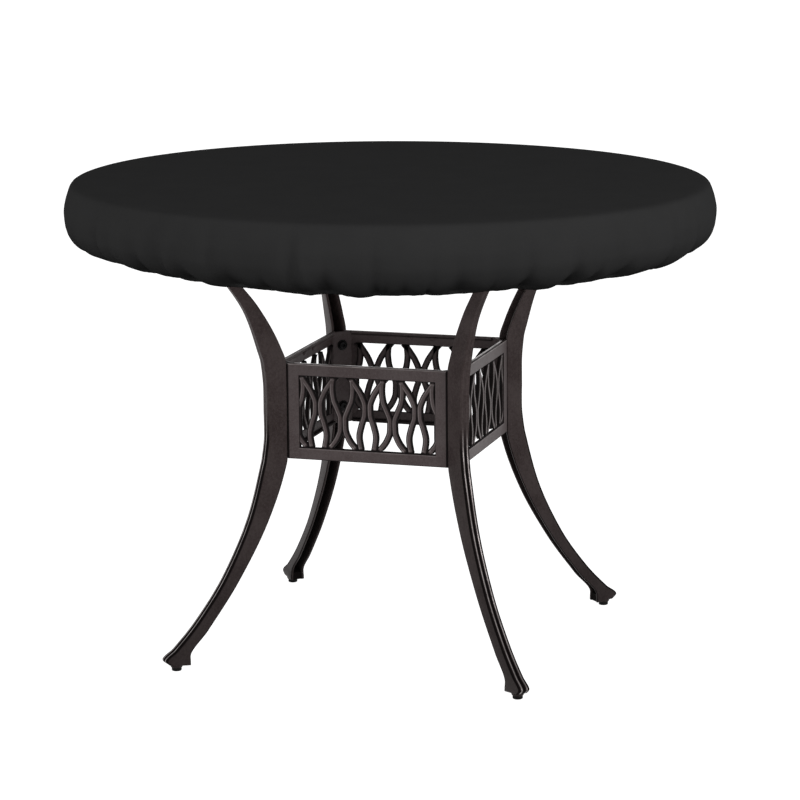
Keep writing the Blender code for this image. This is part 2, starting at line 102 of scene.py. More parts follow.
# Sections of a leg along its curve, from the foot up: radius and height of its outer and of its inner
# edge, and the widths of its outer face and of its open side.
LegSection = namedtuple("LegSection", "outer_r outer_z inner_r inner_z outer_width inner_width")
LEG_SECTIONS = tuple(LegSection(*row) for row in (
    (0.3985, 0.0100, 0.3662, 0.0078, 0.0190, 0.0250),
    (0.4063, 0.0182, 0.3662, 0.0130, 0.0190, 0.0248),
    (0.3888, 0.0330, 0.3662, 0.0216, 0.0178, 0.0236),
    (0.3504, 0.0726, 0.3360, 0.0583, 0.0166, 0.0228),
    (0.3007, 0.1404, 0.2826, 0.1289, 0.0158, 0.0232),
    (0.2562, 0.2311, 0.2285, 0.2222, 0.0158, 0.0240),
    (0.2347, 0.3050, 0.1992, 0.2988, 0.0158, 0.0250),
    (0.2320, 0.3160, 0.1955, 0.3160, 0.0156, 0.0260),
    (0.2268, 0.3600, 0.1955, 0.3600, 0.0155, 0.0265),
    (0.2262, 0.4230, 0.1955, 0.4230, 0.0155, 0.0265),
    (0.2300, 0.4665, 0.1955, 0.4665, 0.0150, 0.0265),
    (0.2360, 0.4870, 0.2040, 0.4930, 0.0140, 0.0250),
    (0.2570, 0.5460, 0.2385, 0.5560, 0.0115, 0.0240),
    (0.2965, 0.6050, 0.2865, 0.6150, 0.0105, 0.0235),
    (0.3470, 0.6610, 0.3355, 0.6740, 0.0105, 0.0235),
    (0.4060, 0.7230, 0.3800, 0.7250, 0.0110, 0.0240),
))
LEG_ROWS = 150
LEG_WALL = 0.0042
FOOT_FLOOR = 0.0165  # metal above the underside of the foot
FOOT_EASE = 0.0012  # rounding round the underside of the foot
BOSS_HALF = 0.009  # half the height of the boss behind a bolt
BOLT_HEIGHTS = {"upper": PANEL_HIGH - 0.0222, "lower": PANEL_LOW + 0.0276}

# A bar's middle line: how far down its window as a share, how far out from its pair's middle in pitches.
BarPoint = namedtuple("BarPoint", "down out")
LOW_LENS_BAR = tuple(BarPoint(*row) for row in (
    (-0.03, 0.375), (0.1, 0.235), (0.24, 0.115), (0.38, 0.052), (0.5, 0.056), (0.64, 0.115), (0.82, 0.168),
    (1.03, 0.125),
))
HIGH_LENS_BAR = tuple(BarPoint(*row) for row in (
    (-0.03, 0.185), (0.15, 0.208), (0.3, 0.186), (0.44, 0.11), (0.58, 0.045), (0.72, 0.05), (0.87, 0.125),
    (1.03, 0.3),
))
# Two mirrored bars: their middle in pitches from the panel's, their shape, and which of the two are there.
BarPair = namedtuple("BarPair", "middle shape sides")
BAR_PAIRS = tuple(BarPair(*row) for row in (
    (-1.5, HIGH_LENS_BAR, (1,)), (-1.0, LOW_LENS_BAR, (-1, 1)), (-0.5, HIGH_LENS_BAR, (-1, 1)),
    (0.0, LOW_LENS_BAR, (-1, 1)), (0.5, HIGH_LENS_BAR, (-1, 1)), (1.0, LOW_LENS_BAR, (-1, 1)),
    (1.5, HIGH_LENS_BAR, (-1,)),
))
BAR_ROWS = 28
BAR_ENDS = (0.0, 0.012, 0.020, 0.032, 0.968, 0.980, 0.988, 1.0)  # more rows where a bar meets the rails
BAR_INTO = 0.0030  # how far a bar's middle line may run into a stile
LUGS = (-0.021, 0.021)  # places of the lugs on the inside of an upper rail

# ---- the cover's own tables ----

COVER_FRONT = -72.87  # degrees from +X to the side of the cover that faces the camera
COVER_SIDES = 1080
CLOTH = 0.0014  # thickness of the sheet
CREASE_DROP = 0.1045  # drop of the crease above the hem's bead
COVER_OFFSET = 0.0050  # how far the cover sits to the left of the table, seen from its front
COVER_LIFT = 0.0034  # air under the cloth's middle; none at its right, twice this at its left

# Outer face of the cloth: radius, drop below the top. HEM_BEAD carries it on round the turned hem.
SkinRow = namedtuple("SkinRow", "radius drop")
COVER_SKIN = tuple(SkinRow(*row) for row in (
    (0.48, 0.0), (0.4872, 0.0008), (0.4928, 0.0029), (0.4962, 0.0068), (0.4987, 0.0128), (0.5031, 0.0268),
    (0.5058, 0.044), (0.5044, 0.061), (0.4965, 0.079), (0.4815, 0.0935), (0.465, 0.1012), (0.455, 0.1045),
))
HEM_BEAD = tuple(SkinRow(*row) for row in (
    (0.4508, 0.1045), (0.4496, 0.1054), (0.4476, 0.1061), (0.4454, 0.1059), (0.4436, 0.1045),
    (0.443, 0.1025), (0.444, 0.1007), (0.4464, 0.0999),
))
TOP_RINGS, SKIN_ROWS, LINING_ROWS = 9, 40, 22

# Main gathers: degrees from COVER_FRONT, half width in degrees, depth, height over which each fades,
# and how far it leans with height, in degrees a metre.
Gather = namedtuple("Gather", "angle spread depth height lean", defaults=(0,))
GATHERS = tuple(Gather(*row) for row in (
    (-176, 2.2, 0.0095, 0.018), (-163, 1.8, 0.007, 0.014), (-154, 2.6, 0.011, 0.022),
    (-141, 1.7, 0.0075, 0.014), (-131, 2.2, 0.009, 0.018), (-119, 2.8, 0.011, 0.024),
    (-106, 1.8, 0.0075, 0.015), (-95, 2.3, 0.01, 0.019), (-83, 1.8, 0.007, 0.014), (-72, 2.4, 0.009, 0.018),
    (-60, 1.7, 0.007, 0.014), (-48, 2, 0.008, 0.016), (-37.5, 2.6, 0.0105, 0.017),
    (-28, 3, 0.0115, 0.02), (-21.5, 1.5, 0.007, 0.013), (-15, 1.7, 0.008, 0.014),
    (-10.6, 2.2, 0.0105, 0.022), (-2, 1.5, 0.0075, 0.013), (2.5, 1.4, 0.0065, 0.011),
    (12, 2.6, 0.0105, 0.018), (24, 1.8, 0.0085, 0.015), (33, 2.2, 0.0105, 0.02), (38, 1.6, 0.0085, 0.014),
    (44.6, 2.2, 0.01, 0.017), (56, 1.6, 0.007, 0.012), (66, 2.6, 0.0115, 0.019), (79, 1.8, 0.007, 0.014),
    (91, 2.4, 0.009, 0.019), (103, 1.8, 0.007, 0.014), (114, 2.6, 0.0105, 0.021), (127, 1.8, 0.008, 0.016),
    (139, 2.4, 0.01, 0.019), (151, 1.7, 0.007, 0.014), (168, 2.6, 0.0105, 0.022),
))
# Lesser puckers of the elastic between the main gathers: how many, and the limits of each of their fields.
SMALL_GATHERS, SMALL_GATHER_SEED = 54, 11
SMALL_GATHER_LIMITS = ((-180, 180), (0.6, 1.3), (0.0025, 0.0065), (0.005, 0.011), (-20, 20))

DIMPLE_UP = 0.0058  # the dimples are deepest this far above the crease
DIMPLE_FLOOR = 0.30  # and this share as deep at the crease
DIMPLE_TALL, DIMPLE_FADE = 0.76, 1.7  # share of a gather's height over which it fades, how abruptly
DIMPLE_TOP, DIMPLE_SWELL = 0.40, 0.45  # share of the gather's width at its top, how much it widens
PINCH, PINCH_EDGE = 1.55, 1.6  # depth of a dimple as a share of its gather's, and how steep its sides are
RIDGE, RIDGE_AT, RIDGE_HALF = 0.16, 1.9, 0.9  # a low ridge beside it: height, place, half width
# A narrow crease that runs on above each dimple: depth, reach, half width, and how abruptly it ends.
FINGER, FINGER_REACH, FINGER_HALF, FINGER_END = 0.24, 2.6, 0.42, 2.2
# Places where the skirt hangs lower over its hem, or higher: degrees from COVER_FRONT, half width, drop.
Pouch = namedtuple("Pouch", "angle spread drop")
POUCHES = tuple(Pouch(*row) for row in (
    (-54, 13, -0.005), (-4, 20, 0.003), (38, 8, 0.002), (90, 22, -0.0035), (-92, 22, -0.003),
    (-150, 5, 0.003), (-112, 5, 0.0028), (-78, 5, 0.003), (-53, 3, 0.0016), (-32, 2.6, 0.0008),
    (-15.3, 1.8, 0.0034), (-5.5, 2.8, 0.0036), (11, 3.5, 0.0022), (28.5, 2.6, 0.0028), (50, 3, 0.0018),
    (61.5, 2.6, 0.0042), (72, 4, -0.0012), (85, 3, 0.0022), (108, 5, 0.003), (146, 5, 0.0028),
))
POUCH_FROM, POUCH_WITHIN = 0.060, 0.040  # drop at which a pouch starts, and over which it grows
# Soft upright waves in the side of the skirt: degrees from COVER_FRONT, half width, height (+ stands out).
Wave = namedtuple("Wave", "angle spread height")
SIDE_WAVES = tuple(Wave(*row) for row in (
    (-68, 3, 0.002), (-61, 2.4, -0.0022), (-55, 2.8, 0.0024), (-44, 3, -0.002), (-33, 3.4, 0.0022),
    (-24, 2.4, -0.0018), (-18, 2.6, 0.0016), (-8, 3.4, -0.002), (3, 4, 0.0016), (17, 3.4, -0.0012),
    (29, 4.2, 0.0018), (41, 3, -0.0018), (52, 3, 0.002), (62, 3, -0.0016), (74, 3.4, 0.002),
    (98, 4, 0.0022), (112, 3, -0.002), (131, 4, 0.002), (149, 3.2, -0.0018), (172, 4, 0.0022),
    (-157, 3.2, -0.002), (-137, 4, 0.0022), (-116, 3, -0.002), (-98, 4, 0.002), (-60.2, 1.1, -0.0032),
    (-57.8, 1, 0.0024), (-55.3, 1.1, -0.0032), (-50.9, 1.2, 0.0028), (-48.2, 1.2, -0.0034),
    (-45.1, 1.3, 0.003), (-42, 1.2, -0.0036), (-39.6, 1.2, 0.002), (-36.3, 1.4, -0.002),
    (-30.6, 1.2, -0.0032), (-16.2, 1, -0.0038), (-14.2, 0.9, 0.002), (-2.7, 1.1, -0.0028),
    (6.9, 1, -0.0018), (11, 1.2, -0.002), (15.5, 1.1, 0.0018), (23.3, 1.2, -0.0026),
    (31.9, 1.2, -0.0022), (41.8, 1.4, -0.0026), (57.3, 1.2, -0.0022), (64, 1.4, 0.0024),
    (83, 1.2, -0.0028), (95, 1.1, 0.0022), (109, 1.3, -0.003), (118, 1.2, 0.0024), (136, 1.4, -0.0028),
    (157, 1.2, -0.0026), (165, 1.2, 0.0022), (-168, 1.2, -0.003), (-149, 1.3, -0.0026),
    (-127, 1.2, -0.0032), (-110, 1.1, 0.0024), (-90, 1.3, -0.0028), (-76, 1.2, 0.0022),
))
SIDE_FROM = 0.030  # drop by which the waves have set in
WAVE_TOP = 0.50  # share of their height up there; lower down, their whole height is added
WAVE_GROWS, WAVE_WITHIN = 0.050, 0.011  # drop at which they grow, and how gently
# Fine unevenness all round: height, waves in a turn from and to, how many are added up, seed.
Ripple = namedtuple("Ripple", "height waves_low waves_high count seed")
HEM_RIPPLE = Ripple(0.0009, 110, 260, 14, 5)
SLOW_RIPPLE = Ripple(0.0006, 5, 26, 8, 3)
SIDE_RIPPLE = Ripple(0.0003, 26, 80, 8, 4)
HEM_RIPPLE_TALL, HEM_RIPPLE_FADE = 0.007, 1.4  # its reach above the crease, how abruptly it fades
SLOW_FROM = 0.020  # drop by which the slow ripple has set in


# ---- small helpers ----

def smooth_between(knots, values, at):
    """Monotone cubic through (knots, values)."""
    count = len(knots)
    slopes = [(values[i + 1] - values[i]) / (knots[i + 1] - knots[i]) for i in range(count - 1)]
    tangents = [slopes[0]]
    for before, after in zip(slopes, slopes[1:]):
        same_way = before * after > 0
        tangents.append(2 * before * after / (before + after) if same_way else 0.0)
    tangents.append(slopes[-1])
    i = 0
    while i < count - 2 and at > knots[i + 1]:
        i += 1
    span = knots[i + 1] - knots[i]
    t = (at - knots[i]) / span
    return (values[i] * (1 + 2 * t) * (1 - t) ** 2 + tangents[i] * span * t * (1 - t) ** 2
            + values[i + 1] * t * t * (3 - 2 * t) + tangents[i + 1] * span * t * t * (t - 1))


def loft(bm, rings, loop=False):
    """Skin a row of closed rings with equal numbers of points, capped at its ends or closed into a loop."""
    rows = [[bm.verts.new(point) for point in ring] for ring in rings]
    count = len(rows[0])
    for low, high in zip(rows, rows[1:] + (rows[:1] if loop else [])):
        for i in range(count):
            j = (i + 1) % count
            bm.faces.new((low[i], low[j], high[j], high[i]))
    if not loop:
        bm.faces.new(rows[0][::-1])
        bm.faces.new(rows[-1])


def level_ring(radii, height):
    """Points round Z at one height, with a radius for each even step of the turn."""
    turns = [2 * math.pi * i / len(radii) for i in range(len(radii))]
    return [Vector((r * math.cos(turn), r * math.sin(turn), height)) for r, turn in zip(radii, turns)]


def spun(bm, profile, sides, lie):
    """Revolve (radius, height) points round Z, close both ends and move the shape to its place."""
    loft(bm, [[lie @ point for point in level_ring([r] * sides, h)] for r, h in profile])


def add_object(name, data):
    """Put a mesh, a lamp or a camera in the scene."""
    made = bpy.data.objects.new(name, data)
    bpy.context.scene.collection.objects.link(made)
    return made


def finish_mesh(name, bm, material, smooth_degrees=35, turn=0):
    """Close a bmesh into a smooth-shaded piece, turned round Z to its corner or side."""
    bmesh.ops.recalc_face_normals(bm, faces=bm.faces)
    mesh = bpy.data.meshes.new(name)
    bm.to_mesh(mesh)
    bm.free()
    if turn:
        mesh.transform(Matrix.Rotation(math.radians(turn), 4, "Z"))
    mesh.materials.append(material)
    mesh.shade_smooth()
    mesh.set_sharp_from_angle(angle=math.radians(smooth_degrees))
    return add_object(name, mesh)


def stand_for(piece, node):
    """Let a piece ride on the body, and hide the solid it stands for."""
    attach(piece, "root")
    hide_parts(node)


def paint_light_and_shade(piece, values):
    """Store the light and shade painted at each point: a painted highlight (to 1), painted shade (to -1);
    the rest is 0.
    """
    layer = piece.data.attributes.new("painted_light", "FLOAT", "POINT")
    layer.data.foreach_set("value", list(values) + [0.0] * (len(piece.data.vertices) - len(values)))


# ---- materials ----

CLOTH_MEAN = (0.0345, 0.0345, 0.0348)
CLOTH_DARK, CLOTH_LIGHT = (0.0325, 0.0325, 0.0328), (0.0350, 0.0350, 0.0353)
CLOTH_CROSSING = (0.0450, 0.0450, 0.0454)  # where one thread lies over another
WEAVE_PITCH = 0.0016  # two threads of the weave

# The last field is painted shade: how much darker the paint grows towards the floor.
Paint = namedtuple("Paint", "name dark light roughness specular foot_shade", defaults=(0.0,))
LEG_PAINT = Paint("cast_bronze_legs", (0.0510, 0.0361, 0.0354), (0.0864, 0.0666, 0.0652), 0.38, 0.06, 0.60)
PANEL_PAINT = Paint("cast_bronze_panels", (0.0690, 0.0508, 0.0508), (0.0940, 0.0748, 0.0748), 0.42, 0.14)
SHADE_LOW, SHADE_HIGH = 0.03, 0.60  # heights between which it does
SPECK_TONE = 1.5  # brightness of the paint's specks
PAINTED_SHADE_SHARE, PAINTED_SHADE_TONE, PAINTED_SHADE_DULL = 0.97, 0.06, 0.50  # painted shade in hollows and along edges: how full, dark and dull
# Painted highlight along crests and edges: its colour, and how metallic and how much glossier it is.
HIGHLIGHT_PAINT = (0.58, 0.53, 0.52)
HIGHLIGHT_METAL, HIGHLIGHT_GLOSS = 0.85, 0.14

# Colour, roughness, specular level, scale of the grain.
Finish = namedtuple("Finish", "name colour roughness specular grain")
BOLT_FINISH = Finish("bolt_black", (0.0040, 0.0040, 0.0043), 0.34, 0.10, 900.0)
GLIDE_FINISH = Finish("glide_black", (0.0060, 0.0058, 0.0058), 0.60, 0.10, 700.0)

FLOOR_GREY, FLOOR_GLOW = 0.55, 0.93
MIX_FIRST, MIX_SECOND, MIX_RESULT = 6, 7, 2  # places of a Mix node's colour sockets


class Shader:
    """A Principled material and short ways to add nodes to it."""

    def __init__(self, name, colour, roughness, specular):
        self.material = bpy.data.materials.new(name)
        self.material.use_nodes = True
        self.tree = self.material.node_tree
        self.shader = self.tree.nodes["Principled BSDF"]
        self.set("Base Color", (*colour, 1.0))
        self.set("Roughness", roughness)
        self.set("Specular IOR Level", specular)

    def set(self, socket, value):
        """Set a number or colour that is the same all over."""
        self.shader.inputs[socket].default_value = value

    def node(self, kind, **values):
        """Add a shader node; each value is a property of it or, by its name, a socket."""
        made = self.tree.nodes.new("ShaderNode" + kind)
        for key, value in values.items():
            if hasattr(made, key):
                setattr(made, key, value)
            else:
                made.inputs[key.replace("_", " ").title()].default_value = value
        return made

    def link(self, source, target):
        """Join an output to a socket."""
        self.tree.links.new(source, target)

    def noise(self, vector, scale, detail=3.0, roughness=0.5):
        """Soft noise about 0.5, over a place or a map."""
        made = self.node("TexNoise", scale=scale, detail=detail, roughness=roughness)
        self.link(vector, made.inputs["Vector"])
        return made.outputs["Fac"]

    def put(self, value, socket):
        """Link another node's output to a socket, or set the socket to a number or a colour."""
        if hasattr(value, "links"):
            self.link(value, socket)
        elif isinstance(value, tuple):
            socket.default_value = (*value, 1.0)
        else:
            socket.default_value = value

    def math(self, operation, *values):
        """One sum of outputs and numbers."""
        made = self.node("Math", operation=operation)
        for value, socket in zip(values, made.inputs):
            self.put(value, socket)
        return made.outputs["Value"]

    def spread(self, value, low, high, from_low=0.0, from_high=1.0):
        """Map a value between two limits to others, and keep it within them."""
        made = self.node("MapRange", from_min=from_low, from_max=from_high,
                         to_min=low, to_max=high)
        self.link(value, made.inputs["Value"])
        return made.outputs["Result"]

    def blend(self, factor, first, second):
        """Mix two colours, each a node's output or a colour."""
        made = self.node("Mix", data_type="RGBA")
        self.link(factor, made.inputs["Factor"])
        self.put(first, made.inputs[MIX_FIRST])
        self.put(second, made.inputs[MIX_SECOND])
        return made.outputs[MIX_RESULT]

    def bump(self, height, distance, strength, before=None):
        """Bump by a height over a distance in metres, on top of an earlier bump."""
        made = self.node("Bump", strength=strength, distance=distance)
        self.link(height, made.inputs["Height"])
        if before is not None:
            self.link(before, made.inputs["Normal"])
        return made.outputs["Normal"]

    def out(self, socket, value):
        """Join an output to a socket of the shader."""
        self.link(value, self.shader.inputs[socket])


def cloth_material():
    """Black coated polyester in a plain weave, laid out on the flat cut in metres."""
    m = Shader("cover_cloth", CLOTH_MEAN, 0.85, specular=0.0)
    cut = m.node("UVMap", uv_map="flat_cut").outputs["UV"]
    parts = m.node("SeparateXYZ")
    m.link(cut, parts.inputs["Vector"])
    thread = 2 * math.pi / WEAVE_PITCH
    warp = m.math("SINE", m.math("MULTIPLY", parts.outputs["X"], thread))
    weft = m.math("SINE", m.math("MULTIPLY", parts.outputs["Y"], thread))
    weave = m.spread(m.math("MULTIPLY", warp, weft), 0.0, 1.0, from_low=-1.0)
    soft = m.noise(cut, scale=14.0, detail=4.0)
    slub = m.noise(cut, scale=420.0, detail=2.0)
    tone = m.blend(m.spread(soft, 0.0, 1.0, from_low=0.3, from_high=0.7), CLOTH_DARK, CLOTH_LIGHT)
    tone = m.blend(m.spread(weave, 0.0, 0.35), tone, CLOTH_CROSSING)
    m.out("Base Color", tone)
    m.out("Roughness", m.spread(slub, 0.78, 0.92))
    crumple = m.bump(m.noise(cut, scale=26.0, detail=5.0, roughness=0.55), distance=0.0012, strength=0.35)
    threads = m.math("ADD", weave, m.math("MULTIPLY", slub, 0.6))
    m.out("Normal", m.bump(threads, distance=0.00012, strength=0.6, before=crumple))
    return m.material


def cast_material(paint):
    """Satin paint over a sand casting: cloudy tone, painted shade in hollows and along edges, painted
    highlights on crests and edges, lumps, orange peel.
    """
    m = Shader(paint.name, paint.light, paint.roughness, paint.specular)
    place = m.node("TexCoord").outputs["Object"]
    clouds = m.spread(m.noise(place, scale=24.0, detail=4.0), -0.2, 0.7, from_low=0.32, from_high=0.68)
    mottle = m.spread(m.noise(place, scale=260.0), 0.0, 0.6, from_low=0.35, from_high=0.65)
    tone = m.blend(m.spread(m.math("ADD", clouds, mottle), 0.0, 1.0), paint.dark, paint.light)
    specks = m.spread(m.noise(place, scale=700.0, detail=2.0), 0.0, 0.5, from_low=0.50, from_high=0.75)
    tone = m.blend(specks, tone, tuple(c * SPECK_TONE for c in paint.light))
    # painted shade, darker towards the feet
    if paint.foot_shade:
        parts = m.node("SeparateXYZ")
        m.link(place, parts.inputs["Vector"])
        shade = m.spread(parts.outputs["Z"], paint.foot_shade, 0.0, SHADE_LOW, SHADE_HIGH)
        tone = m.blend(shade, tone, (0.0, 0.0, 0.0))
    painted_light = m.node("Attribute", attribute_name="painted_light").outputs["Fac"]
    # painted shade, nearly black, where the painted light goes below 0
    painted_shade = m.spread(painted_light, 1.0, 0.0, from_low=-1.0, from_high=-0.1)
    deep = tuple(c * PAINTED_SHADE_TONE for c in paint.dark)
    tone = m.blend(m.math("MULTIPLY", painted_shade, PAINTED_SHADE_SHARE), tone, deep)
    # painted highlight: lighter, metallic and glossier paint where the painted light goes above 0
    painted_highlight = m.math("MULTIPLY", m.spread(painted_light, 0.0, 1.0, from_low=0.1),
                    m.spread(m.noise(place, scale=38.0), 0.45, 1.0, from_low=0.35, from_high=0.6))
    tone = m.blend(painted_highlight, tone, HIGHLIGHT_PAINT)
    m.out("Base Color", tone)
    m.out("Metallic", m.math("MULTIPLY", painted_highlight, HIGHLIGHT_METAL))
    satin = m.spread(m.noise(place, scale=60.0), paint.roughness - 0.05, paint.roughness + 0.07)
    satin = m.math("ADD", satin, m.math("MULTIPLY", painted_shade, PAINTED_SHADE_DULL))
    m.out("Roughness", m.math("SUBTRACT", satin, m.math("MULTIPLY", painted_highlight, HIGHLIGHT_GLOSS)))
    lumps = m.bump(m.noise(place, scale=70.0), distance=0.0006, strength=0.18)
    peel = m.noise(place, scale=1400.0, detail=2.0)
    m.out("Normal", m.bump(peel, distance=0.00006, strength=0.35, before=lumps))
    return m.material


def plain_material(finish):
    """A dark small-part finish with a fine grain."""
    m = Shader(finish.name, finish.colour, finish.roughness, finish.specular)
    place = m.node("TexCoord").outputs["Object"]
    dark, light = [tuple(c * share for c in finish.colour) for share in (0.8, 1.25)]
    m.out("Base Color", m.blend(m.noise(place, finish.grain), dark, light))
    gloss = m.noise(place, finish.grain * 3)
    m.out("Roughness", m.spread(gloss, finish.roughness - 0.06, finish.roughness + 0.08))
    m.out("Normal", m.bump(m.noise(place, finish.grain * 8), distance=0.00004, strength=0.4))
    return m.material


def floor_material():
    """A white acrylic sheet, lit softly from below."""
    m = Shader("studio_floor", (FLOOR_GREY, FLOOR_GREY, FLOOR_GREY), 0.95, specular=0.0)
    m.set("Emission Color", (1.0, 1.0, 1.0, 1.0))
    m.set("Emission Strength", FLOOR_GLOW)
    return m.material


# ---- the cover ----

def apart(a, b):
    """The turn from b to a in degrees, at most half a circle either way."""
    return (a - b + 180.0) % 360.0 - 180.0


def resample(rows, count):
    """Smooth curve through (radius, drop) rows, read at even steps of its length."""
    points = np.array(rows)
    length = np.concatenate(([0.0], np.cumsum(np.hypot(*np.diff(points, axis=0).T))))
    steps = np.linspace(0.0, length[-1], count)
    knots = list(length)
    return np.array([[smooth_between(knots, list(column), float(s)) for column in points.T] for s in steps])


def ripple(angles, kind):
    """A ring of uneven small waves between two waves-per-turn limits, about 1 high."""
    draw = np.random.default_rng(kind.seed)
    total = np.zeros_like(angles)
    for waves in draw.integers(kind.waves_low, kind.waves_high, kind.count):
        total += draw.uniform(0.5, 1.0) * np.cos(waves * angles + draw.uniform(0, 2 * math.pi))
    return total / math.sqrt(kind.count / 2)


def small_gathers():
    """The lesser gathers, uneven but the same each run."""
    draw = np.random.default_rng(SMALL_GATHER_SEED)
    return tuple(Gather(*[float(draw.uniform(low, high)) for low, high in SMALL_GATHER_LIMITS])
                 for _ in range(SMALL_GATHERS))


ALL_GATHERS = GATHERS + small_gathers()


def cover_shift(angles, drop):
    """Radial and downward shift of the cloth at every angle, for one drop below the top."""
    degrees = np.degrees(angles) - COVER_FRONT
    above_crease = max(CREASE_DROP - drop, 0.0)
    on_side = np.clip(drop / SIDE_FROM, 0.0, 1.0)
    low_share = 1.0 / (1.0 + np.exp(-(drop - WAVE_GROWS) / WAVE_WITHIN))
    radial = np.zeros_like(angles)
    down = np.zeros_like(angles)
    for wave in SIDE_WAVES:
        hump = np.exp(-(apart(degrees, wave.angle) / wave.spread) ** 2)
        radial += wave.height * hump * on_side * (WAVE_TOP + low_share)
    near_hem = DIMPLE_FLOOR + (1 - DIMPLE_FLOOR) * min(above_crease / DIMPLE_UP, 1.0)
    above_dimple = max(above_crease - DIMPLE_UP, 0.0)
    for gather in ALL_GATHERS:
        fade = math.exp(-(above_dimple / (DIMPLE_TALL * gather.height)) ** DIMPLE_FADE)
        turned = apart(degrees, gather.angle + gather.lean * above_crease)
        across = turned / (gather.spread * (DIMPLE_TOP + DIMPLE_SWELL * fade))
        pinch = np.exp(-np.abs(across) ** PINCH_EDGE)
        ridge = np.exp(-((np.abs(across) - RIDGE_AT) / RIDGE_HALF) ** 2)
        radial += fade * near_hem * gather.depth * (RIDGE * ridge - PINCH * pinch)
        reach = math.exp(-(above_crease / (gather.height * FINGER_REACH)) ** FINGER_END)
        finger = np.exp(-(turned / (gather.spread * FINGER_HALF)) ** 2)
        radial -= FINGER * gather.depth * reach * near_hem * finger
    for pouch in POUCHES:
        hang = np.exp(-(apart(degrees, pouch.angle) / pouch.spread) ** 2)
        down += pouch.drop * hang * np.clip((drop - POUCH_FROM) / POUCH_WITHIN, 0.0, 1.0)
    pucker = math.exp(-(above_crease / HEM_RIPPLE_TALL) ** HEM_RIPPLE_FADE)
    radial += HEM_RIPPLE.height * pucker * ripple(angles, HEM_RIPPLE)
    slow = np.clip(drop / SLOW_FROM, 0.0, 1.0)
    radial += (SLOW_RIPPLE.height * slow * ripple(angles, SLOW_RIPPLE)
               + SIDE_RIPPLE.height * on_side * ripple(angles, SIDE_RIPPLE))
    return radial, down


def cover_ring(angles, radius, drop):
    """One ring of the sheet, set a little to the left and lifted towards its left side."""
    radial, down = cover_shift(angles, drop)
    r = radius + radial
    front = math.radians(COVER_FRONT)
    across = r * np.sin(angles - front)  # from the cover's left side to its right
    x = r * np.cos(angles) + COVER_OFFSET * math.sin(front)
    y = r * np.sin(angles) - COVER_OFFSET * math.cos(front)
    z = HEIGHT - drop - down + COVER_LIFT * (1 - across / COVER_SKIN[0].radius)
    return np.stack([x, y, z], axis=1)


def cover_profile():
    """Rows of the sheet as (radius, drop), outside to the hem and inside back, and how many are outside."""
    skin = resample(COVER_SKIN, SKIN_ROWS)
    top = [(COVER_SKIN[0].radius * (i + 1) / TOP_RINGS, 0.0) for i in range(TOP_RINGS - 1)]
    outside = top + [tuple(row) for row in skin] + list(HEM_BEAD)
    tangent = np.gradient(skin, axis=0)
    tangent /= np.linalg.norm(tangent, axis=1)[:, None]
    inner = skin + np.stack([-tangent[:, 1], tangent[:, 0]], axis=1) * CLOTH
    picks = np.linspace(0, SKIN_ROWS - 1, LINING_ROWS).round().astype(int)[::-1]
    lining = [tuple(inner[i]) for i in picks[1:]] + [(r, CLOTH) for r, _ in top[::-2]]
    return np.array(outside + lining), len(outside)


def flat_radii(profile, outside):
    """Distance of each row from the middle on the flat cut, where the inside lies under the outside."""
    steps = np.hypot(*np.diff(profile, axis=0).T)
    cut = profile[0, 0] + np.concatenate(([0.0], np.cumsum(steps)))
    cut[outside:] = 2 * cut[outside - 1] - cut[outside:]
    return cut


def make_cover(material):
    """One closed sheet: top and skirt outside, the beaded hem, and the inside back to the middle."""
    angles = np.linspace(0.0, 2 * math.pi, COVER_SIDES, endpoint=False)
    profile, outside = cover_profile()
    rings = [cover_ring(angles, r, d) for r, d in profile]
    verts = np.concatenate([[rings[0].mean(axis=0)], *rings, [rings[-1].mean(axis=0)]])
    steps = [(i, (i + 1) % COVER_SIDES) for i in range(COVER_SIDES)]
    faces = [(0, 1 + i, 1 + j) for i, j in steps]
    for row in range(len(rings) - 1):
        here = 1 + row * COVER_SIDES
        after = here + COVER_SIDES
        faces += [(here + i, after + i, after + j, here + j) for i, j in steps]
    end, last = len(verts) - 1, len(verts) - 1 - COVER_SIDES
    faces += [(end, last + j, last + i) for i, j in steps]
    mesh = bpy.data.meshes.new("cover_sheet")
    mesh.from_pydata(verts.tolist(), [], faces)

    cut = flat_radii(profile, outside)
    flat_rings = [np.stack([c * np.cos(angles), c * np.sin(angles)], 1) for c in cut]
    flat_xy = np.concatenate([[(0, 0)], *flat_rings, [(0, 0)]])
    layer = mesh.uv_layers.new(name="flat_cut")
    corners = np.zeros(len(mesh.loops), dtype=np.int32)
    mesh.loops.foreach_get("vertex_index", corners)
    layer.data.foreach_set("uv", flat_xy[corners].ravel().astype(np.float32))
    mesh.materials.append(material)
    mesh.shade_smooth()
    cover = add_object("cover_sheet", mesh)
    stand_for(cover, "cover")


# ---- legs ----

LEG_KNOTS = [(row.outer_z + row.inner_z) / 2 for row in LEG_SECTIONS]
LEG_FIELDS = [[getattr(row, field) for row in LEG_SECTIONS] for field in LegSection._fields]
ROLL_RISE = 0.0022  # two rolls fill the outer face and rise this far from their valley
ROLL_STEP = 0.0005  # how far a roll stands out from the flank below it
GROOVE_EDGE = 0.0005  # a groove on the flank starts this far below the rolls
# That groove: distance from its start, cut, painted shade (down to -1).
GROOVE = ((0.0, 0.0003, -1.0), (0.0010, 0.0, -0.3), (0.0022, 0.0, 0.0))
# Rounded edge of a flank at the open side: back from the edge, cut into the flank, painted shade (down to
# -1).
LIP = 0.0012
LIP_SECTION = (
    (LIP * 1.5, 0.0, 0.0), (LIP, 0.0001, -0.5), (LIP * 0.45, LIP * 0.22, -0.9),
    (LIP * 0.08, LIP * 0.62, -0.9), (0.0, LIP * 1.1, -0.3), (0.0, LEG_WALL - LIP, 0.0),
    (LIP * 0.5, LEG_WALL, -0.5),
)
FILL_STEP = 0.0014  # a closed stretch is filled to this far below its lips
